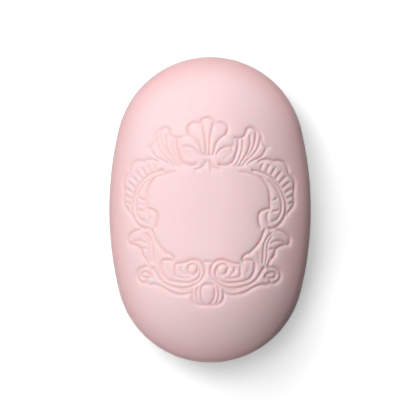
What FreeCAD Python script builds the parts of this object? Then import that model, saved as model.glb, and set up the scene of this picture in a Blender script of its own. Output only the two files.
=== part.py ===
import FreeCAD, Part
import math
import os
import Sketcher

# A pressed bar of soap: one solid, an oval pebble that rests on a small flat foot, with a
# cartouche of grooves cut into its upper face.
# Millimetres, +Z up, the length along Y. The origin is the middle of the foot.

Vector = FreeCAD.Vector

# Driving sizes
sizes = {
    "bar_length": 90.0,
    "bar_width": 59.4,
    "bar_thickness": 33.0,
    "side_radius": 100.0,  # of the long sides, seen from above
    "rim_radius": 8.0,  # where the crown turns down into the side
    "band_height": 1.4,  # the upright band between the two halves
    "foot_cut": 0.6,  # how much of the lower crown is taken off flat
    "cartouche_width": 50.2,
    "cartouche_height": 54.8,
    "groove_width": 1.0,
    "groove_depth": 0.4,
}

doc = FreeCAD.newDocument("soap_bar")
sheet = doc.addObject("Spreadsheet::Sheet", "Sizes")
for row, (name, value) in enumerate(sizes.items(), start=1):
    sheet.set(f"A{row}", name)
    sheet.set(f"B{row}", str(value))
    sheet.setAlias(f"B{row}", name)
doc.recompute()


def size(name):
    return float(sheet.get(name))


# Worked out from the sizes, once as expressions for the sketches and once as numbers.
# The end arcs touch the side arcs, so their radius follows from the other three sizes.
HALF_LENGTH = "Sizes.bar_length / 2"
HALF_WIDTH = "Sizes.bar_width / 2"
END_RADIUS = (
    "(Sizes.bar_width * Sizes.side_radius - Sizes.bar_width ^ 2 / 4 - Sizes.bar_length ^ 2 / 4)"
    " / (2 * Sizes.side_radius - Sizes.bar_length)"
)
# from the parting plane to the top of each crown, before the foot is cut
CROWN_TOP = "(Sizes.bar_thickness + Sizes.foot_cut) / 2"
# a rim is limited by the end arc and by the half thickness that it turns through
RIM_RADIUS = f"min(Sizes.rim_radius; 0.8 * ({END_RADIUS}); 0.8 * ({CROWN_TOP} - Sizes.band_height / 2))"

half_length = size("bar_length") / 2
half_width = size("bar_width") / 2
side_radius = size("side_radius")
end_radius = (2 * half_width * side_radius - half_width**2 - half_length**2) / (
    2 * (side_radius - half_length)
)
crown_top = (size("bar_thickness") + size("foot_cut")) / 2
half_band = size("band_height") / 2
crown_rise = crown_top - half_band
rim_radius = min(size("rim_radius"), 0.8 * end_radius, 0.8 * crown_rise)
crown_radius = ((end_radius - rim_radius) ** 2 + crown_rise**2 - rim_radius**2) / (
    2 * (crown_rise - rim_radius)
)
# the half angle of a side arc: the joint lies on the line through both arc centres
side_angle = math.degrees(math.atan2(half_length - end_radius, side_radius - half_width))


def plane(body, role):
    return [f for f in body.Origin.OriginFeatures if f.Role == role][0]


def measure(sketch, name, expression, kind, *where):
    """A named length, radius or angle of a sketch, bound to an expression of the sizes."""
    number = sketch.addConstraint(Sketcher.Constraint(kind, *where))
    sketch.renameConstraint(number, name)
    sketch.setExpression(f"Constraints.{name}", expression)


def section_sketch(body, role, name, wall, wall_expression, axis, axis_expression):
    """Half of the bar's upright section, from its level middle out to the wall, and its axis.

    Both crowns are level at the inner line, which lies one end radius inside the wall.
    """
    sketch = body.newObject("Sketcher::SketchObject", name)
    sketch.AttachmentSupport = [(plane(body, role), "")]
    sketch.MapMode = "FlatFace"
    inner = wall - end_radius
    rim_centre = Vector(wall - rim_radius, half_band)
    crown_centre = Vector(inner, crown_top - crown_radius)
    lean = math.atan2(rim_centre.y - crown_centre.y, rim_centre.x - crown_centre.x)
    meet = crown_centre + Vector(math.cos(lean), math.sin(lean)) * crown_radius

    def add_arc(centre, radius, start, end):
        circle = Part.Circle(centre, Vector(0, 0, 1), radius)
        return sketch.addGeometry(Part.ArcOfCircle(circle, start, end))

    def add_line(start, end, construction=False):
        return sketch.addGeometry(Part.LineSegment(start, end), construction)

    def below(point):
        return Vector(point.x, -point.y)

    upper_crown = add_arc(crown_centre, crown_radius, lean, math.pi / 2)
    upper_rim = add_arc(rim_centre, rim_radius, 0, lean)
    wall_line = add_line(Vector(wall, half_band), Vector(wall, -half_band))
    lower_rim = add_arc(below(rim_centre), rim_radius, -lean, 0)
    lower_crown = add_arc(below(crown_centre), crown_radius, -math.pi / 2, -lean)
    inner_line = add_line(Vector(inner, -crown_top), Vector(inner, crown_top))
    axis_line = add_line(Vector(axis, -crown_top), Vector(axis, crown_top), True)

    def rule(kind, *where):
        sketch.addConstraint(Sketcher.Constraint(kind, *where))

    # arcs run anticlockwise, so point 1 is their lower end on the right-hand side
    rule("Tangent", upper_crown, 1, upper_rim, 2)
    rule("Tangent", upper_rim, 1, wall_line, 1)
    rule("Tangent", wall_line, 2, lower_rim, 2)
    rule("Tangent", lower_rim, 1, lower_crown, 2)
    rule("Coincident", lower_crown, 1, inner_line, 1)
    rule("Coincident", inner_line, 2, upper_crown, 2)
    rule("PointOnObject", upper_crown, 3, inner_line)
    rule("PointOnObject", lower_crown, 3, inner_line)
    rule("Symmetric", wall_line, 1, wall_line, 2, -1)
    rule("Symmetric", inner_line, 1, inner_line, 2, -1)
    rule("Symmetric", axis_line, 1, axis_line, 2, -1)
    rule("Equal", upper_rim, lower_rim)

    measure(sketch, "rim", RIM_RADIUS, "Radius", upper_rim, rim_radius)
    measure(sketch, "band", "Sizes.band_height", "DistanceY", wall_line, 2, wall_line, 1, 2 * half_band)
    for name, line in (("thickness", inner_line), ("axis_height", axis_line)):
        measure(sketch, name, f"2 * ({CROWN_TOP})", "DistanceY", line, 1, line, 2, 2 * crown_top)
    measure(sketch, "depth", END_RADIUS, "DistanceX", inner_line, 2, wall_line, 1, end_radius)
    measure(sketch, "wall", wall_expression, "DistanceX", -1, 1, wall_line, 1, wall)
    measure(sketch, "axis", axis_expression, "DistanceX", axis_line, 1, wall_line, 1, wall - axis)
    return sketch


def turned(body, role, name, wall, wall_expression, axis, axis_expression, angle_expression, mirror_role):
    """One section turned about its arc's upright axis, and its mirror image across the bar."""
    sketch = section_sketch(body, role, f"{name}Section", wall, wall_expression, axis, axis_expression)
    turn = body.newObject("PartDesign::Revolution", name)
    turn.Profile = sketch
    turn.ReferenceAxis = (sketch, ["Axis0"])
    turn.Midplane = True
    turn.setExpression("Angle", angle_expression)
    doc.recompute()
    mirror = body.newObject("PartDesign::Mirrored", f"{name}Opposite")
    mirror.Originals = [turn]
    mirror.MirrorPlane = (plane(body, mirror_role), [""])
    body.Tip = mirror
    doc.recompute()


# The plain bar, about its parting plane until its placement lifts it onto its foot
body = doc.addObject("PartDesign::Body", "PlainBar")

# between the inner edges of the sides the crown is level: a slim lens along the middle
lens = body.newObject("Sketcher::SketchObject", "LevelLens")
lens.AttachmentSupport = [(plane(body, "XY_Plane"), "")]
lens.MapMode = "FlatFace"
lens_radius = side_radius - end_radius
lens_centre = half_width - side_radius
tip_angle = math.radians(side_angle)
right = Part.Circle(Vector(lens_centre, 0), Vector(0, 0, 1), lens_radius)
left = Part.Circle(Vector(-lens_centre, 0), Vector(0, 0, 1), lens_radius)
right_arc = lens.addGeometry(Part.ArcOfCircle(right, -tip_angle, tip_angle))
left_arc = lens.addGeometry(Part.ArcOfCircle(left, math.pi - tip_angle, math.pi + tip_angle))
lens.addConstraint(Sketcher.Constraint("Coincident", right_arc, 2, left_arc, 1))
lens.addConstraint(Sketcher.Constraint("Coincident", right_arc, 1, left_arc, 2))
lens.addConstraint(Sketcher.Constraint("PointOnObject", right_arc, 3, -1))
lens.addConstraint(Sketcher.Constraint("PointOnObject", left_arc, 3, -1))
lens.addConstraint(Sketcher.Constraint("PointOnObject", right_arc, 2, -2))
lens.addConstraint(Sketcher.Constraint("Equal", right_arc, left_arc))
measure(lens, "arc", f"Sizes.side_radius - {END_RADIUS}", "Radius", right_arc, lens_radius)
measure(lens, "centre", f"Sizes.side_radius - {HALF_WIDTH}", "DistanceX", right_arc, 3, -1, 1, -lens_centre)
middle = body.newObject("PartDesign::Pad", "Middle")
middle.Profile = lens
middle.Midplane = True
middle.setExpression("Length", f"2 * ({CROWN_TOP})")
doc.recompute()

SIDE_ANGLE = f"atan(({HALF_LENGTH} - {END_RADIUS}) / (Sizes.side_radius - {HALF_WIDTH}))"
turned(
    body, "XZ_Plane", "Side", half_width, HALF_WIDTH,
    half_width - side_radius, "Sizes.side_radius", f"2 * {SIDE_ANGLE}", "YZ_Plane",
)
turned(
    body, "YZ_Plane", "End", half_length, HALF_LENGTH,
    half_length - end_radius, END_RADIUS, f"180 deg - 2 * {SIDE_ANGLE}", "XZ_Plane",
)

# the lower crown is cut flat, so that the bar stands on a foot
foot = body.newObject("Sketcher::SketchObject", "FootSection")
foot.AttachmentSupport = [(plane(body, "XZ_Plane"), "")]
foot.MapMode = "FlatFace"
foot_level = crown_top - size("foot_cut")
corners = [
    Vector(-2 * half_width, -foot_level),
    Vector(2 * half_width, -foot_level),
    Vector(2 * half_width, -2 * crown_top),
    Vector(-2 * half_width, -2 * crown_top),
]
edges = []
for start, end in zip(corners, corners[1:] + corners[:1]):
    edges.append(foot.addGeometry(Part.LineSegment(start, end)))
for number, edge in enumerate(edges):
    foot.addConstraint(Sketcher.Constraint("Coincident", edge, 2, edges[(number + 1) % 4], 1))
for number, direction in ((1, "Vertical"), (2, "Horizontal"), (3, "Vertical")):
    foot.addConstraint(Sketcher.Constraint(direction, edges[number]))
# even about the bar's middle, which also keeps this edge level
foot.addConstraint(Sketcher.Constraint("Symmetric", edges[0], 1, edges[0], 2, -2))
measure(foot, "level", f"{CROWN_TOP} - Sizes.foot_cut", "DistanceY", edges[0], 1, -1, 1, foot_level)
measure(foot, "reach", "2 * Sizes.bar_width", "DistanceX", edges[0], 1, edges[0], 2, 4 * half_width)
measure(foot, "depth", CROWN_TOP, "DistanceY", edges[1], 2, edges[1], 1, crown_top)
foot_pocket = body.newObject("PartDesign::Pocket", "Foot")
foot_pocket.Profile = foot
foot_pocket.Midplane = True
foot_pocket.setExpression("Length", "2 * Sizes.bar_length")
body.Tip = foot_pocket
body.setExpression("Placement.Base.z", f"{CROWN_TOP} - Sizes.foot_cut")
doc.recompute()

# Cartouche
# The strokes are drawn about the middle of the upper face, at this width and height. Each is a
# run of arcs: the first goes through its first three points, and each further point is reached
# by an arc that leaves the last one smoothly.
DRAWN_WIDTH = 50.6
DRAWN_HEIGHT = 56.0
middle_strokes = {
    "crest top": [(-2.1, 26.6), (0, 27.7), (2.1, 26.6)],
    "crest collar": [(-1.5, 17), (0, 16.8), (1.5, 17)],
    "bud collar": [(-1.4, -21.6), (0, -21.35), (1.4, -21.6)],
    "bud foot": [(-2.2, -27.5), (0, -27.6), (2.2, -27.5)],
}
side_strokes = {
    "petal rim": [(2.4, 26.1), (4, 26.3), (5.4, 25.6), (5.8, 24.1), (5.4, 22.8)],
    "crest foot": [(3.5, 13.95), (4.9, 13.8), (6.3, 14.1), (7.9, 15.8), (8.6, 18.2), (8.8, 21)],
    "wing rim": [(8.1, 21.9), (9.2, 21.75), (10.3, 22.1), (11.2, 23.6), (12.5, 24.8), (13.9, 24)],
    "shoulder root": [(15, 14.9), (17, 15.45), (18.9, 14.9)],
    "shoulder top": [(19.2, 14.8), (21.2, 14.9), (22.8, 13.8), (23.4, 12.2), (23.9, 10.8)],
    "shoulder side": [(24.2, 10.8), (25.1, 9.4), (25.3, 7), (25.2, 3.4), (24.4, 0.8), (22.9, -1.2)],
    "scroll back": [(13.2, 12.2), (17.4, 10.8), (21.1, 7), (22.8, 2), (22.2, -2), (20.4, -4.3), (18, -4.9)],
    "scroll curl": [(18, 0.8), (16.9, 0.7), (15.8, 0.3), (14.9, -1), (14.9, -3), (15.4, -4.5)],
    "scroll face": [(15.6, 9.9), (17.4, 7.5), (18.1, 4.6), (18.2, 1)],
    "leaf back": [(20.2, -5.4), (22.2, -6.2), (23.5, -7.4), (23.9, -8.6), (23.6, -9.8)],
    "leaf belly": [(23.5, -10), (21.8, -10.1), (20.3, -10.8), (19.6, -12.2), (18.8, -13.8), (17.8, -16.5)],
    "arm face": [(16.5, -5.4), (15.6, -8), (13.9, -10.5), (12.2, -12.1)],
    "volute outer": [
        (9.3, -15.3), (7.4, -15.05), (5.6, -14.45), (2.4, -14.6), (0.9, -16.6), (1.5, -19.4),
        (4.6, -21.9), (8.4, -22.5), (12.4, -21.3), (15.2, -18.6), (16.4, -16.7),
    ],
    "volute inner": [
        (13.6, -15), (13.7, -17), (12.9, -19), (10.8, -20.4), (6.5, -20.9), (3.2, -19.9), (2.3, -17.9),
        (3.2, -15.9), (5.3, -15.6),
    ],
    "volute foot": [(4.6, -23.8), (6.8, -24.4), (9.4, -24.3), (12.2, -23.1), (14.4, -21.95), (17.2, -21.8)],
    "loop": [(17.8, -16.6), (19.4, -16.7), (20.7, -17.6), (21.2, -19.2), (20.4, -20.8), (18.9, -21.3)],
    "bud side": [(2.3, -27.5), (3.8, -26.9), (4.6, -25.4), (4.5, -23.8)],
}


def arc_chain(points):
    """Edges of one stroke, brought from the drawing to the cartouche's own width and height."""
    across = size("cartouche_width") / DRAWN_WIDTH
    along = size("cartouche_height") / DRAWN_HEIGHT
    corners = [Vector(x * across, y * along) for x, y in points]
    circle = Part.Arc(*corners[:3])
    edges = [circle.toShape()]
    for last, target in zip(corners[2:], corners[3:]):
        heading = circle.tangent(circle.LastParameter)[0]
        chord = target - last
        turn = math.remainder(
            math.atan2(chord.y, chord.x) - math.atan2(heading.y, heading.x), 2 * math.pi
        )
        bulge = Vector(chord.y, -chord.x) * (math.tan(turn / 2) / 2)
        circle = Part.Arc(last, last + chord / 2 + bulge, target)
        edges.append(circle.toShape())
    return edges


def groove_band(edges):
    """A flat band about a run of arcs, as wide as a groove and square at both ends."""
    width = size("groove_width")
    one_side = Part.Wire(edges).makeOffset2D(-width / 2, openResult=True)
    return one_side.makeOffset2D(width, fill=True, openResult=True)


bands = [groove_band(arc_chain(points)) for points in middle_strokes.values()]
for points in side_strokes.values():
    band = groove_band(arc_chain(points))
    bands.append(band)
    bands.append(band.mirror(Vector(), Vector(1, 0, 0)))
prisms = [band.extrude(Vector(0, 0, size("bar_thickness"))) for band in bands]

strokes = doc.addObject("Part::Feature", "Strokes")
strokes.Shape = prisms[0].multiFuse(prisms[1:])
strokes.Placement = FreeCAD.Placement(Vector(0, 0, foot_level), FreeCAD.Rotation())

# the grooves follow the crown at one depth: the strokes without what lies below their floor
floor = doc.addObject("Part::Feature", "GrooveFloor")
floor.Shape = body.Shape
floor.Placement = FreeCAD.Placement(Vector(0, 0, foot_level - size("groove_depth")), FreeCAD.Rotation())
grooves = doc.addObject("Part::Cut", "Grooves")
grooves.Base = strokes
grooves.Tool = floor
soap_bar = doc.addObject("Part::Cut", "SoapBar")
soap_bar.Base = body
soap_bar.Tool = grooves
soap_bar.Label = "soap_bar"
doc.recompute()

for obj in doc.Objects:
    if "Invalid" in obj.State or "Error" in obj.State:
        raise RuntimeError(f"{obj.Name} failed: {obj.getStatusString()}")
if foot_pocket.Shape.Volume >= foot_pocket.BaseFeature.Shape.Volume:
    raise RuntimeError("the foot took nothing off the bar")
os.makedirs("parts", exist_ok=True)
for part in [soap_bar]:
    shape = part.Shape
    if shape.isNull() or not shape.isValid() or len(shape.Solids) != 1:
        raise RuntimeError(f"{part.Label} is not one valid solid")
    shape.exportStep(f"parts/{part.Label}.step")
    print(part.Label, round(shape.Volume / 1000, 2), "cubic centimetres")
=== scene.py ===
import math
import bpy
import numpy as np
from mathutils import Matrix, Vector


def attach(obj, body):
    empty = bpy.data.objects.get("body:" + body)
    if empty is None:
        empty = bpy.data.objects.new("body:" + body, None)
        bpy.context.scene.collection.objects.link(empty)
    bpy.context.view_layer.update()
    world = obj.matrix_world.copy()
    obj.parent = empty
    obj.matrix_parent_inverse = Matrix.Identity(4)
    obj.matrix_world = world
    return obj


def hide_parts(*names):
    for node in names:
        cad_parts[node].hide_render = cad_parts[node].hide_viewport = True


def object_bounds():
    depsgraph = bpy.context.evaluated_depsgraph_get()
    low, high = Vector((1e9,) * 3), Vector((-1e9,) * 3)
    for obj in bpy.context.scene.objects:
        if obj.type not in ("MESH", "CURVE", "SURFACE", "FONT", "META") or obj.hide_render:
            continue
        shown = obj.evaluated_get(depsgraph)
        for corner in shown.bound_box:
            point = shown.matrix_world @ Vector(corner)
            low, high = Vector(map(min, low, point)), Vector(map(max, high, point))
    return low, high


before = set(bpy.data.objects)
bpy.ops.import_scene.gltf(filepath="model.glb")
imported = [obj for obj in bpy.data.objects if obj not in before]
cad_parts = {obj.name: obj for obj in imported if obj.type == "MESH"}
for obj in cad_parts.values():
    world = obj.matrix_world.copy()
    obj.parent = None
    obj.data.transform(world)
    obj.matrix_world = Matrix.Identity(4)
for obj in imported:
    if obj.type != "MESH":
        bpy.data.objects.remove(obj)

cadLow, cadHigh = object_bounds()  # the CAD solid's box, before any new piece

# A pressed bar of pink soap: an oval pebble on a small flat foot, with a scroll cartouche
# pressed into its upper face. The dictionaries are in millimetres, the scene in metres.
mm = 0.001
barWidth = (cadHigh.x - cadLow.x) / mm
barLength = (cadHigh.y - cadLow.y) / mm
barThickness = (cadHigh.z - cadLow.z) / mm

barShape = {
    "sideRadius": 100.0,  # of the long sides, seen from above
    "rimRadius": 8.0,  # where the crown turns down into the side
    "bandHeight": 1.4,  # the upright band between the two halves
    "footCut": 0.6,  # taken flat off the lower crown
    "rimShadeReach": 4.6,  # how far in the painted rim shade reaches
    "ringInset": 3.6,  # inside this ring the rows shrink evenly towards the middle
    "columns": 664,
    "rimRows": 9,
    "shoulderRows": 5,
    "carvedRows": 96,  # over the cartouche
    "fieldRows": 10,  # over the plain field inside it
    "underRows": 18,
    "footStep": 0.5,  # a close row outside the foot's edge
    "fieldEdge": 0.30,  # the plain field's share of the way from the middle to the ring
    "footRows": 4,
}

# worked out from the sizes: the end arcs touch the side arcs, the crown is level in the middle
halfWidth, halfLength = barWidth / 2, barLength / 2
sideRadius, rimRadius = barShape["sideRadius"], barShape["rimRadius"]
endRadius = (2 * halfWidth * sideRadius - halfWidth**2 - halfLength**2) / (
    2 * (sideRadius - halfLength)
)
crownTop = (barThickness + barShape["footCut"]) / 2  # above the parting plane
halfBand = barShape["bandHeight"] / 2
crownRise = crownTop - halfBand
crownRadius = ((endRadius - rimRadius) ** 2 + crownRise**2 - rimRadius**2) / (
    2 * (crownRise - rimRadius)
)
partingLevel = crownTop - barShape["footCut"]
sideCentre, endCentre = halfWidth - sideRadius, halfLength - endRadius
rimLean = math.atan2(crownRadius - crownRise, endRadius - rimRadius)
rimInset = rimRadius * (1 - math.cos(rimLean))  # where the rim's arc meets the crown's
footInset = endRadius - math.sqrt(crownRadius**2 - (crownRadius - barShape["footCut"]) ** 2)


def outlineColumns(count):
    # evenly spaced columns round the oval: each has its arc's centre, that arc's radius and
    # the outward direction, so that a point is centre + (radius - inset) * direction
    half = math.atan2(endCentre, -sideCentre)
    arcs = [
        (sideCentre, 0, sideRadius, -half, half),
        (0, endCentre, endRadius, half, math.pi - half),
        (-sideCentre, 0, sideRadius, math.pi - half, math.pi + half),
        (0, -endCentre, endRadius, math.pi + half, 2 * math.pi - half),
    ]
    inset = barShape["ringInset"]
    lengths = [(r - inset) * (stop - start) for _, _, r, start, stop in arcs]
    joints = np.concatenate([[0], np.cumsum(lengths)])
    along = np.arange(count) / count * joints[-1]
    which = np.searchsorted(joints, along, side="right") - 1
    arc = np.array(arcs)[which]
    angle = arc[:, 3] + (along - joints[which]) / (arc[:, 2] - inset)
    return arc[:, 0:2], arc[:, 2], np.stack([np.cos(angle), np.sin(angle)], axis=1)


def insideOval(x, y):
    # distance inside the outline and the outward direction, from whichever arc faces the point
    ax, ay = np.abs(x), np.abs(y)
    onSide = ay * -sideCentre <= endCentre * (ax - sideCentre)
    dx = np.where(onSide, ax - sideCentre, ax)
    dy = np.where(onSide, ay, ay - endCentre)
    reach = np.maximum(np.hypot(dx, dy), 1e-9)
    inside = np.where(onSide, sideRadius, endRadius) - reach
    return inside, np.sign(x) * dx / reach, np.sign(y) * dy / reach


def crownHeight(inset):
    # height above the parting plane: the rim's quarter arc, then the crown's arc, then level
    rim = halfBand + np.sqrt(np.maximum(rimRadius**2 - (rimRadius - inset) ** 2, 0))
    run = np.clip(endRadius - inset, 0, crownRadius)
    return np.where(inset < rimInset, rim, crownTop - crownRadius + np.sqrt(crownRadius**2 - run**2))


cartouche = {
    "drawnSize": (50.6, 56.0),  # the width and height that the strokes' points are given at
    "size": (50.2, 54.8),
    "lineWidth": 0.36,  # half the width of a main groove, at its waist
    "lineDepth": 0.40,
    "fineWidth": 0.31,
    "fineDepth": 0.27,
    "softWidth": 0.5,
    "softDepth": 0.14,
    "valleyWidth": 1.05,  # the soft dip about every groove, which rounds the forms between
    "valleyDepth": 0.15,
    "fineStandoff": 0.25,  # how much less a fine groove counts for the dip
    "reach": 4.0,  # grooves further away than this don't count
}

# Strokes of the cartouche's right half, which is mirrored. Each is a run of arcs: the first
# goes through its first three points, and each further point is reached by an arc that leaves
# the last one smoothly.
mainStrokes = {
    "crest top": [(-2.1, 26.6), (0, 27.7), (2.1, 26.6)],
    "crest collar": [(-1.5, 17), (0, 16.8), (1.5, 17)],
    "bud collar": [(-1.4, -21.6), (0, -21.35), (1.4, -21.6)],
    "bud foot": [(-2.2, -27.5), (0, -27.6), (2.2, -27.5)],
    "petal 2 rim": [(2.4, 26.1), (4, 26.3), (5.4, 25.6), (5.8, 24.1), (5.4, 22.8)],
    "crest foot": [(3.5, 13.95), (4.9, 13.8), (6.3, 14.1), (7.9, 15.8), (8.6, 18.2), (8.8, 21)],
    "wing rim": [(8.1, 21.9), (9.2, 21.75), (10.3, 22.1), (11.2, 23.6), (12.5, 24.8), (13.9, 24)],
    "shoulder 1": [(15, 14.9), (17, 15.45), (18.9, 14.9)],
    "shoulder 2": [(19.2, 14.8), (21.2, 14.9), (22.8, 13.8), (23.4, 12.2), (23.9, 10.8)],
    "shoulder 3": [(24.2, 10.8), (25.1, 9.4), (25.3, 7), (25.2, 3.4), (24.4, 0.8), (22.9, -1.2)],
    "scroll back": [
        (13.2, 12.2), (17.4, 10.8), (21.1, 7), (22.8, 2), (22.2, -2), (20.4, -4.3), (18, -4.9),
    ],
    "scroll curl": [(18, 0.8), (16.9, 0.7), (15.8, 0.3), (14.9, -1), (14.9, -3), (15.4, -4.5)],
    "scroll face": [(15.6, 9.9), (17.4, 7.5), (18.1, 4.6), (18.2, 1)],
    "leaf back": [(20.2, -5.4), (22.2, -6.2), (23.5, -7.4), (23.9, -8.6), (23.6, -9.8)],
    "leaf belly": [(23.5, -10), (21.8, -10.1), (20.3, -10.8), (19.6, -12.2), (18.8, -13.8), (17.8, -16.5)],
    "arm face": [(16.5, -5.4), (15.6, -8), (13.9, -10.5), (12.2, -12.1)],
    "arm step": [(12.4, -12.2), (11.2, -12.5), (10.4, -13.2), (10.3, -14.5)],
    "ledge": [(10.8, -14.3), (12, -14.2), (13.2, -14.4)],
    "volute outer": [
        (9.3, -15.3), (7.4, -15.05), (5.6, -14.45), (2.4, -14.6), (0.9, -16.6), (1.5, -19.4),
        (4.6, -21.9), (8.4, -22.5), (12.4, -21.3), (15.2, -18.6), (16.4, -16.7),
    ],
    "volute inner": [
        (13.6, -15), (13.7, -17), (12.9, -19), (10.8, -20.4), (6.5, -20.9), (3.2, -19.9), (2.3, -17.9),
        (3.2, -15.9), (5.3, -15.6),
    ],
    "volute ball": [(5.8, -16.5), (5.5, -17.8), (4.5, -18.4), (3.3, -17.9), (3, -16.8)],
    "volute foot": [(4.6, -23.8), (6.8, -24.4), (9.4, -24.3), (12.2, -23.1), (14.4, -21.95), (17.2, -21.8)],
    "loop": [
        (17.8, -16.6), (19.4, -16.7), (20.7, -17.6), (21.2, -19.2), (20.4, -20.8), (18.9, -21.3),
        (18.1, -20.4),
    ],
    "loop eye": [(16.7, -19.3), (17.8, -18.3), (19.2, -18.1), (19.8, -19), (18.8, -19.8), (16.8, -19.4)],
    "bud side": [(2.3, -27.5), (3.8, -26.9), (4.6, -25.4), (4.5, -23.8)],
}
fineStrokes = {
    "funnel cap": [(-1.1, -14.8), (0, -14.6), (1.1, -14.8)],
    "flute": [(1.6, 26), (1, 23.3), (0.6, 20.5), (0.5, 17.3)],
    "petal 2 root": [(5.3, 22.6), (3.4, 21.4), (2.4, 19.8), (1.9, 17.5)],
    "scroll brow": [(9.7, 11.8), (12.8, 11.1), (15.5, 10)],
    "petal 3 root": [(7.2, 19.2), (5.2, 19.1), (3.6, 18.2), (2.5, 17)],
    "leaflet": [(0.6, 14.7), (1.7, 13.2), (3.5, 12.6)],
    "wing ray 1": [(10.1, 21.3), (10, 18.2), (9.4, 16.2), (8.4, 14.2)],
    "wing ray 2": [(12.2, 22.5), (12.1, 18.9), (11, 16.5), (9.4, 14.2)],
    "wing ray 3": [(14, 23.6), (13.8, 20.9), (12.9, 18.4), (11.6, 16.4)],
    "wing ray 4": [(15.2, 21.6), (14.9, 19.6), (13.4, 17.2), (10.4, 14.1)],
    "wing edge": [(14, 24.2), (15.3, 23), (15.7, 21.4), (16.2, 20), (17.5, 19)],
    "wing ray 5": [(16.9, 18.9), (16.2, 17), (14.3, 15.6), (11.8, 14.3)],
    "wing foot": [(7.6, 13.9), (9, 13.6), (10.4, 13.8)],
    "scroll middle": [(17.6, 9.2), (19.9, 6.9), (21.3, 3.5), (21.4, 0.5), (20.4, -2), (18.8, -2.8)],
    "curl line": [(17.5, -0.4), (17.2, -1.8), (17.7, -3.5)],
    "bar 1": [(18.5, 3.2), (19.2, 3.4), (20, 3.9)],
    "bar 3": [(18.9, 0.2), (19.6, 0.1), (20.4, 0.4)],
    "leaf vein 1": [(18.3, -9.4), (20.5, -8.7), (22.4, -9.5)],
    "leaf vein 2": [(18, -11.2), (18.8, -10.95), (19.7, -11.1)],
    "arm line 1": [(18.4, -6.6), (16.9, -8.4), (16.3, -10.6), (16, -14.8)],
    "arm line 2": [(18.7, -7.4), (17.7, -8.9), (17.3, -11), (16.9, -15)],
    "panel": [(5.4, -19.4), (7.2, -19.5), (8.8, -19.3), (9.6, -18.2), (9.6, -15.8)],
    "hook 1": [(7.9, -16.3), (7.7, -17.6), (6.6, -18.4)],
    "volute step": [(4.4, -22.95), (6.2, -23.2), (8.2, -23.15)],
    "notch": [(17.5, -21.7), (18, -21.1), (18, -20.3)],
    "bud rib 1": [(1.9, -22.3), (2, -24.4), (1.7, -25.9), (0.9, -26.9)],
    "bud rib 2": [(2.9, -22.2), (3.3, -24.4), (3, -26), (2.3, -27.1)],
}
softStrokes = {
    "petal 3 rim": [(5.6, 22.8), (7, 22.2), (7.6, 20.8), (7.3, 19.4)],
    "curl back": [(7.2, 19.1), (6.6, 17.4), (5, 16.2)],
    "curl eye": [(4.2, 17.4), (5.3, 17.5), (6.3, 17.3)],
    "tassel side": [(0.4, 14.8), (0.95, 13.6), (1, 12.3)],
    "tassel foot": [(-1.1, 12.1), (0, 12), (1.1, 12.1)],
    "bar 2": [(18.5, 2), (19.3, 1.9), (20.1, 2.1)],
    "arm line 0": [(14.8, -12), (14.7, -13.6), (14.8, -15.2)],
    "hook 2": [(11.9, -15.6), (11.8, -17.2), (11, -18.3)],
}

# short ribs between the scroll's back and the shoulder, which fan out along it
shoulderRibs = {
    "count": 9,
    "path": [(15.6, 12.6), (20.9, 8.6), (23.1, 2)],
    "length": 1.5,
    "swell": 0.7,  # added to the length halfway along
    "bow": 0.08,  # how far each rib bends off its straight line
    "topAngle": 76.0,  # degrees above the right
    "bottomAngle": 18.0,
}


def circleThrough(a, b, c):
    # the centre is where the two chords' upright bisectors cross
    (ax, ay), (bx, by), (cx, cy) = a, b, c
    cross = 2 * (ax * (by - cy) + bx * (cy - ay) + cx * (ay - by))
    aa, bb, cc = ax * ax + ay * ay, bx * bx + by * by, cx * cx + cy * cy
    x = (aa * (by - cy) + bb * (cy - ay) + cc * (ay - by)) / cross
    y = (aa * (cx - bx) + bb * (ax - cx) + cc * (bx - ax)) / cross
    return x, y


def strokeArcs(points):
    # the arcs of one stroke as rows of centre x, centre y, radius, first angle, signed sweep
    arcs = []
    a, b, c = points[:3]
    x, y = circleThrough(a, b, c)
    start = math.atan2(a[1] - y, a[0] - x)
    turn = (b[0] - a[0]) * (c[1] - b[1]) - (b[1] - a[1]) * (c[0] - b[0])
    sweep = (math.atan2(c[1] - y, c[0] - x) - start) % (2 * math.pi)
    if turn < 0:
        sweep -= 2 * math.pi
    arcs.append((x, y, math.hypot(a[0] - x, a[1] - y), start, sweep))
    heading = start + sweep + math.copysign(math.pi / 2, sweep)
    last = c
    for target in points[3:]:
        chord = math.hypot(target[0] - last[0], target[1] - last[1])
        towards = math.atan2(target[1] - last[1], target[0] - last[0])
        bend = math.remainder(towards - heading, 2 * math.pi)
        radius = chord / (2 * math.sin(abs(bend)))
        side = math.copysign(1, bend)
        x = last[0] - side * radius * math.sin(heading)
        y = last[1] + side * radius * math.cos(heading)
        arcs.append((x, y, radius, heading - side * math.pi / 2, 2 * bend))
        heading += 2 * bend
        last = target
    return arcs


def distanceToArc(x, y, arc):
    # distance to the nearest point of one arc: across the circle, or to its nearer end
    cx, cy, radius, start, sweep = arc
    dx, dy = x - cx, y - cy
    middle = start + sweep / 2
    off = np.abs(np.remainder(np.arctan2(dy, dx) - middle + math.pi, 2 * math.pi) - math.pi)
    tips = (start, start + sweep)
    ends = [np.hypot(dx - radius * math.cos(t), dy - radius * math.sin(t)) for t in tips]
    beside = np.abs(np.hypot(dx, dy) - radius)
    return np.where(off <= abs(sweep) / 2, beside, np.minimum(*ends))


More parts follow.
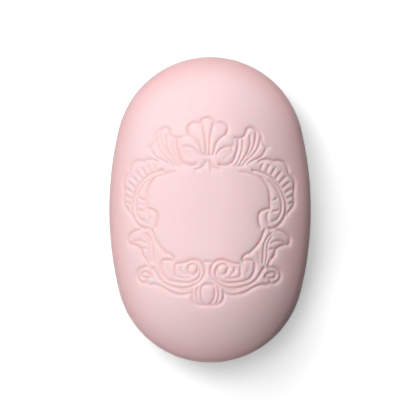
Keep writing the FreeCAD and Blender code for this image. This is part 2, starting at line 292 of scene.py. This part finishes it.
def distanceToStrokes(x, y, arcs):
    # smallest distance to any of the arcs, looked for only within reach of each arc's box
    reach = cartouche["reach"]
    nearest = np.full(x.shape, reach)
    for arc in arcs:
        cx, cy, radius, start, sweep = arc
        t = start + sweep * np.linspace(0, 1, 9)
        ax, ay = cx + radius * np.cos(t), cy + radius * np.sin(t)
        across = (x > ax.min() - reach) & (x < ax.max() + reach)
        near = across & (y > ay.min() - reach) & (y < ay.max() + reach)
        nearest[near] = np.minimum(nearest[near], distanceToArc(x[near], y[near], arc))
    return nearest


def ribStrokes(ribs):
    # short nearly straight strokes that start on an arc and lean less and less downwards
    cx, cy, radius, start, sweep = strokeArcs(ribs["path"])[0]
    strokes = []
    for share in np.linspace(0, 1, ribs["count"]):
        angle = start + sweep * share
        lean = math.radians(ribs["topAngle"] + (ribs["bottomAngle"] - ribs["topAngle"]) * share)
        length = ribs["length"] + ribs["swell"] * math.sin(math.pi * share)
        foot = np.array([cx + radius * math.cos(angle), cy + radius * math.sin(angle)])
        tip = foot + length * np.array([math.cos(lean), math.sin(lean)])
        waist = (foot + tip) / 2 + ribs["bow"] * np.array([-math.sin(lean), math.cos(lean)])
        strokes.append([tuple(foot), tuple(waist), tuple(tip)])
    return strokes


def strokeSet(strokes):
    # arcs of many strokes, brought from the drawing to the cartouche's own size
    scale = np.array(cartouche["size"]) / cartouche["drawnSize"]
    return [arc for points in strokes for arc in strokeArcs([tuple(p * scale) for p in points])]


def carvedDepth(x, y):
    # depth of the carving: the deepest of the grooves' bell curves, plus a wide soft valley
    half = np.abs(x)
    toMain = distanceToStrokes(half, y, strokeSet(mainStrokes.values()))
    toFine = distanceToStrokes(half, y, strokeSet([*fineStrokes.values(), *ribStrokes(shoulderRibs)]))
    toSoft = distanceToStrokes(half, y, strokeSet(softStrokes.values()))
    main = cartouche["lineDepth"] * np.exp(-((toMain / cartouche["lineWidth"]) ** 2))
    fine = cartouche["fineDepth"] * np.exp(-((toFine / cartouche["fineWidth"]) ** 2))
    soft = cartouche["softDepth"] * np.exp(-((toSoft / cartouche["softWidth"]) ** 2))
    nearest = np.minimum(toMain, toFine + cartouche["fineStandoff"])
    valley = cartouche["valleyDepth"] * np.exp(-((nearest / cartouche["valleyWidth"]) ** 2))
    return np.maximum(np.maximum(main, fine), soft) + valley


def meshFromGrid(name, points, lowPole, highPole):
    # closed skin from rows of one ring each, bottom to top, with a fan at each pole
    rows, columns = points.shape[:2]
    count = rows * columns
    corners = np.concatenate([points.reshape(-1, 3), [lowPole, highPole]]) * mm
    ring = np.arange(count).reshape(rows, columns)
    after = np.roll(ring, -1, axis=1)
    quads = np.stack([ring[:-1], after[:-1], after[1:], ring[1:]], axis=-1).reshape(-1, 4)
    lowFan = np.stack([np.full(columns, count), after[0], ring[0]], axis=-1)
    highFan = np.stack([np.full(columns, count + 1), ring[-1], after[-1]], axis=-1)
    loops = np.concatenate([quads.ravel(), lowFan.ravel(), highFan.ravel()])
    sizes = np.concatenate([np.full(len(quads), 4), np.full(2 * columns, 3)])
    mesh = bpy.data.meshes.new(name)
    mesh.vertices.add(len(corners))
    mesh.vertices.foreach_set("co", corners.ravel())
    mesh.loops.add(len(loops))
    mesh.loops.foreach_set("vertex_index", loops)
    mesh.polygons.add(len(sizes))
    mesh.polygons.foreach_set("loop_start", np.concatenate([[0], np.cumsum(sizes)[:-1]]))
    mesh.update(calc_edges=True)
    mesh.validate()
    mesh.shade_smooth()
    return mesh


def rowsInPlan():
    # every row's inset from the outline and its shrink towards the middle, and whether it is
    # above the parting plane, from the foot's middle up to the top's middle
    shape = barShape
    arc = rimRadius * (1 - np.cos(np.linspace(0, rimLean, shape["rimRows"])))
    lower = np.concatenate([
        np.linspace(footInset, footInset - shape["footStep"], 3),
        np.linspace(footInset - shape["footStep"], rimInset, shape["underRows"])[1:-1],
        arc[::-1],
    ])
    upper = np.concatenate([arc, np.linspace(rimInset, shape["ringInset"], shape["shoulderRows"])[1:]])
    footShrink = np.linspace(0, 1, shape["footRows"] + 1)[1:-1]
    carved = np.linspace(1, shape["fieldEdge"], shape["carvedRows"])[1:]
    field = np.linspace(shape["fieldEdge"], 0, shape["fieldRows"] + 1)[1:-1]
    topShrink = np.concatenate([carved, field])
    footInsets = np.full(len(footShrink), footInset)
    topInsets = np.full(len(topShrink), shape["ringInset"])
    inset = np.concatenate([footInsets, lower, upper, topInsets])
    shrink = np.concatenate([footShrink, np.ones(len(lower) + len(upper)), topShrink])
    above = np.arange(len(inset)) >= len(footShrink) + len(lower)
    return inset, shrink, above


def makeBar():
    # the pebble as rows and columns, with the carving sunk along the surface's own normal
    centre, radius, direction = outlineColumns(barShape["columns"])
    inset, shrink, above = rowsInPlan()
    plan = centre + (radius - inset[:, None])[..., None] * direction
    x, y = plan[..., 0] * shrink[:, None], plan[..., 1] * shrink[:, None]
    depthIn, outX, outY = insideOval(x, y)
    depthIn = np.where(shrink[:, None] == 1, inset[:, None], depthIn)
    height = crownHeight(depthIn)
    lower = np.minimum(height, partingLevel)
    lean = np.clip(endRadius - depthIn, 0, None) / crownRadius  # sine of the crown's slope
    upright = np.sqrt(np.clip(1 - lean**2, 0, 1))
    carve = np.where(above[:, None] & (depthIn > rimInset), carvedDepth(x, y), 0)
    points = np.stack([
        x - carve * lean * outX,
        y - carve * lean * outY,
        partingLevel + np.where(above[:, None], height - carve * upright, -lower),
    ], axis=-1)
    mesh = meshFromGrid("soapBar", points, (0, 0, 0), (0, 0, crownTop + partingLevel))
    deepest = cartouche["lineDepth"] + cartouche["valleyDepth"]
    # painted shade: a mask that fades in from the rim, carried by the 'rim' attribute, for the rim's darker
    # colour
    rimShadeMask = np.exp(-((depthIn / barShape["rimShadeReach"]) ** 2))
    # 'carving' also sets how far the groove floors take the painted groove shade
    for name, values in {"carving": carve / deepest, "rim": rimShadeMask}.items():
        layer = mesh.attributes.new(name, "FLOAT", "POINT")
        layer.data.foreach_set("value", np.concatenate([values.ravel(), [0, 0]]).astype(np.float32))
    bar = bpy.data.objects.new("soapBar", mesh)
    bpy.context.scene.collection.objects.link(bar)
    return bar


soapFinish = {
    "colour": (0.87, 0.66, 0.672),
    "warmColour": (0.88, 0.64, 0.65),  # the milled soap's slightly deeper streaks
    # painted shade: a darker, deeper pink for the groove floors, standing in for the shade in the grooves
    "grooveShadeColour": (0.85, 0.575, 0.58),
    "rimShadeColour": (0.80, 0.50, 0.51),  # painted shade: darker, deeper pink towards the rim all round
    "roughness": 0.42,
    "sheen": 0.1,  # how strongly the skin mirrors its surroundings
    "depth": 0.005,  # metres that light wanders under the surface
    "glow": 0.4,  # share of light that goes under the surface
    "glowSpread": (1.0, 0.25, 0.25),  # red light wanders furthest
    "bend": 1.46,  # refractive index
    "grooveShadeShare": 0.8,  # how far the deepest floor goes to the painted groove shade
    "streakScale": 28.0,
    "streakStretch": 0.35,  # along the bar, so that the streaks run long
    "grainScale": 2600.0,
    "grainHeight": 0.00002,  # metres
    "swellScale": 90.0,
    "swellHeight": 0.00015,
}


def link(tree, source, target):
    # a wire from one node's output to another's input
    tree.links.new(source, target)


def soapSurface():
    # milled soap: slow streaks of colour, a fine grain, painted shade on the groove floors and along the
    # rim, and a satin skin
    material = bpy.data.materials.new("pinkSoap")
    material.use_nodes = True
    tree = material.node_tree
    nodes = tree.nodes
    skin = nodes["Principled BSDF"]
    place = nodes.new("ShaderNodeTexCoord")

    streaks = nodes.new("ShaderNodeTexNoise")  # long soft bands along the bar
    streaks.inputs["Scale"].default_value = soapFinish["streakScale"]
    streaks.inputs["Detail"].default_value = 4.0
    stretch = nodes.new("ShaderNodeMapping")
    stretch.inputs["Scale"].default_value = (1.0, soapFinish["streakStretch"], 1.0)
    link(tree, place.outputs["Object"], stretch.inputs["Vector"])
    link(tree, stretch.outputs["Vector"], streaks.inputs["Vector"])
    tint = nodes.new("ShaderNodeMix")
    tint.data_type = "RGBA"
    tint.inputs["A"].default_value = (*soapFinish["colour"], 1)
    tint.inputs["B"].default_value = (*soapFinish["warmColour"], 1)
    link(tree, streaks.outputs["Fac"], tint.inputs["Factor"])

    # painted shade: the groove floors take the darker groove colour as deep as they are carved
    carving = nodes.new("ShaderNodeAttribute")
    carving.attribute_name = "carving"
    grooveShadeMask = nodes.new("ShaderNodeMath")
    grooveShadeMask.operation = "MULTIPLY"
    grooveShadeMask.inputs[1].default_value = soapFinish["grooveShadeShare"]
    link(tree, carving.outputs["Fac"], grooveShadeMask.inputs[0])
    groove = nodes.new("ShaderNodeMix")
    groove.data_type = "RGBA"
    groove.inputs["B"].default_value = (*soapFinish["grooveShadeColour"], 1)
    link(tree, grooveShadeMask.outputs[0], groove.inputs["Factor"])
    # painted shade: the colour turns darker and deeper pink towards the rim
    rim = nodes.new("ShaderNodeAttribute")
    rim.attribute_name = "rim"
    rimShade = nodes.new("ShaderNodeMix")
    rimShade.data_type = "RGBA"
    rimShade.inputs["B"].default_value = (*soapFinish["rimShadeColour"], 1)
    link(tree, rim.outputs["Fac"], rimShade.inputs["Factor"])
    link(tree, tint.outputs["Result"], rimShade.inputs["A"])
    link(tree, rimShade.outputs["Result"], groove.inputs["A"])
    link(tree, groove.outputs["Result"], skin.inputs["Base Color"])

    grain = nodes.new("ShaderNodeTexNoise")  # fine grain of the press, about 0.3 mm
    grain.inputs["Scale"].default_value = soapFinish["grainScale"]
    grain.inputs["Detail"].default_value = 3.0
    swell = nodes.new("ShaderNodeTexNoise")  # slow unevenness of the pressed skin
    swell.inputs["Scale"].default_value = soapFinish["swellScale"]
    link(tree, place.outputs["Object"], grain.inputs["Vector"])
    link(tree, place.outputs["Object"], swell.inputs["Vector"])
    fineBump = nodes.new("ShaderNodeBump")
    fineBump.inputs["Strength"].default_value = 0.25
    fineBump.inputs["Distance"].default_value = soapFinish["grainHeight"]
    slowBump = nodes.new("ShaderNodeBump")
    slowBump.inputs["Strength"].default_value = 0.5
    slowBump.inputs["Distance"].default_value = soapFinish["swellHeight"]
    link(tree, swell.outputs["Fac"], slowBump.inputs["Height"])
    link(tree, grain.outputs["Fac"], fineBump.inputs["Height"])
    link(tree, slowBump.outputs["Normal"], fineBump.inputs["Normal"])
    link(tree, fineBump.outputs["Normal"], skin.inputs["Normal"])

    gloss = nodes.new("ShaderNodeMapRange")  # satin, a little duller where the grain is high
    gloss.inputs["To Min"].default_value = soapFinish["roughness"] - 0.06
    gloss.inputs["To Max"].default_value = soapFinish["roughness"] + 0.08
    link(tree, swell.outputs["Fac"], gloss.inputs["Value"])
    link(tree, gloss.outputs["Result"], skin.inputs["Roughness"])

    skin.inputs["IOR"].default_value = soapFinish["bend"]
    skin.inputs["Specular IOR Level"].default_value = soapFinish["sheen"]
    skin.inputs["Subsurface Weight"].default_value = soapFinish["glow"]
    skin.inputs["Subsurface Radius"].default_value = soapFinish["glowSpread"]
    skin.inputs["Subsurface Scale"].default_value = soapFinish["depth"]
    return material


print("soap: sizes from the frame", round(barWidth, 1), round(barLength, 1), round(barThickness, 1))
soapBar = makeBar()
soapBar.data.materials.append(soapSurface())
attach(soapBar, "root")
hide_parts("soap_bar")
print("soap: bar made,", len(soapBar.data.vertices), "points")

# the studio: a white floor and backdrop, and four soft lamps, most light from the upper left
studio = {
    "floorSize": 3.0,  # metres
    "floorShown": 0.9,  # the floor's colour to the camera
    "floorBounce": 0.12,  # and to the light that it throws back on the bar
    "floorLift": 0.34,  # added for the camera alone, so that the open floor reads white
    "fadeStart": 0.15,  # metres from the bar, where the lift begins to grow
    "fadeEnd": 0.5,
    "lampDistance": 0.9,
    "lampSize": 0.45,
    "worldStrength": 0.0,
}
# azimuth counterclockwise from the right, seen from above, and elevation, in degrees; watts
lamps = {
    "keyLamp": (136, 50, 2.9),
    "highLamp": (118, 76, 4.1),
    "crestLamp": (90, 25, 3.2),
    "lowLamp": (225, 25, 2.5),
}


def makeFloor():
    # a flat sheet under the foot, whose colour is lifted for the camera only
    half = studio["floorSize"] / 2
    mesh = bpy.data.meshes.new("floor")
    corners = [(-half, -half, 0), (half, -half, 0), (half, half, 0), (-half, half, 0)]
    mesh.from_pydata(corners, [], [(0, 1, 2, 3)])
    material = bpy.data.materials.new("whiteFloor")
    material.use_nodes = True
    tree = material.node_tree
    paper = tree.nodes["Principled BSDF"]
    paper.inputs["Roughness"].default_value = 0.9
    paper.inputs["Specular IOR Level"].default_value = 0.0
    paper.inputs["Emission Color"].default_value = (1, 1, 1, 1)
    path = tree.nodes.new("ShaderNodeLightPath")
    place = tree.nodes.new("ShaderNodeTexCoord")
    away = tree.nodes.new("ShaderNodeVectorMath")
    away.operation = "LENGTH"
    fade = tree.nodes.new("ShaderNodeMapRange")  # near the bar the lift, far from it full white
    fade.inputs["From Min"].default_value = studio["fadeStart"]
    fade.inputs["From Max"].default_value = studio["fadeEnd"]
    fade.inputs["To Min"].default_value = studio["floorLift"]
    fade.inputs["To Max"].default_value = 1.0
    link(tree, place.outputs["Object"], away.inputs[0])
    link(tree, away.outputs["Value"], fade.inputs["Value"])
    lift = tree.nodes.new("ShaderNodeMath")
    lift.operation = "MULTIPLY"
    link(tree, fade.outputs["Result"], lift.inputs[1])
    seen = tree.nodes.new("ShaderNodeMath")
    seen.operation = "MAXIMUM"
    link(tree, path.outputs["Is Camera Ray"], seen.inputs[0])
    link(tree, path.outputs["Is Glossy Ray"], seen.inputs[1])
    link(tree, seen.outputs[0], lift.inputs[0])
    link(tree, lift.outputs[0], paper.inputs["Emission Strength"])
    shade = tree.nodes.new("ShaderNodeMix")
    shade.data_type = "RGBA"
    shade.inputs["A"].default_value = (*[studio["floorBounce"]] * 3, 1)
    shade.inputs["B"].default_value = (*[studio["floorShown"]] * 3, 1)
    link(tree, seen.outputs[0], shade.inputs["Factor"])
    link(tree, shade.outputs["Result"], paper.inputs["Base Color"])
    mesh.materials.append(material)
    floor = bpy.data.objects.new("floor", mesh)
    bpy.context.scene.collection.objects.link(floor)
    return floor


def makeWorld():
    # plain white to the camera, and worldStrength of light on everything else
    world = bpy.data.worlds.new("whiteStudio")
    bpy.context.scene.world = world
    world.use_nodes = True
    tree = world.node_tree
    sky = tree.nodes["Background"]
    sky.inputs["Color"].default_value = (1, 1, 1, 1)
    path = tree.nodes.new("ShaderNodeLightPath")
    strength = tree.nodes.new("ShaderNodeMapRange")
    strength.inputs["To Min"].default_value = studio["worldStrength"]
    strength.inputs["To Max"].default_value = 1.0
    link(tree, path.outputs["Is Camera Ray"], strength.inputs["Value"])
    link(tree, strength.outputs["Result"], sky.inputs["Strength"])


def softLamp(name, position, target, size, power):
    # a round lamp of one size across, which faces its target
    lamp = bpy.data.lights.new(name, "AREA")
    lamp.shape = "DISK"
    lamp.size = size
    lamp.energy = power
    holder = bpy.data.objects.new(name, lamp)
    holder.location = position
    holder.rotation_euler = (Vector(target) - Vector(position)).to_track_quat("-Z", "Y").to_euler()
    bpy.context.scene.collection.objects.link(holder)


def makeLamps():
    # every lamp looks at the bar's middle from the same distance
    aim = Vector((0, 0, partingLevel * mm))
    for name, (azimuth, elevation, power) in lamps.items():
        around, up = math.radians(azimuth), math.radians(elevation)
        way = Vector((math.cos(around) * math.cos(up), math.sin(around) * math.cos(up), math.sin(up)))
        softLamp(name, aim + way * studio["lampDistance"], aim, studio["lampSize"], power)


frameView = {
    "lens": 200.0,
    "sensor": 36.0,
    "acrossAtParting": 123.6,  # millimetres of the parting plane that fill the frame
    "cameraRight": 25.0,  # the camera stands a little to the right and towards the crest
    "cameraForward": 26.0,
}


def makeCamera():
    # straight down on the carved face, far enough to fit the frame's width at the parting plane
    data = bpy.data.cameras.new("camera")
    data.lens = frameView["lens"]
    data.sensor_width = frameView["sensor"]
    distance = frameView["acrossAtParting"] * frameView["lens"] / frameView["sensor"]
    aim = Vector((0, 0, partingLevel)) * mm
    place = Vector((frameView["cameraRight"], frameView["cameraForward"], partingLevel + distance)) * mm
    camera = bpy.data.objects.new("camera", data)
    camera.location = place
    camera.rotation_mode = "QUATERNION"
    back = (place - aim).normalized()
    right = Vector((0, 1, 0)).cross(back).normalized()
    up = back.cross(right)
    camera.rotation_quaternion = Matrix((right, up, back)).transposed().to_quaternion()
    bpy.context.scene.collection.objects.link(camera)
    bpy.context.scene.camera = camera


makeWorld()
makeFloor()
makeLamps()
makeCamera()
bpy.context.scene.view_settings.view_transform = "Standard"
print("soap: studio and camera ready")
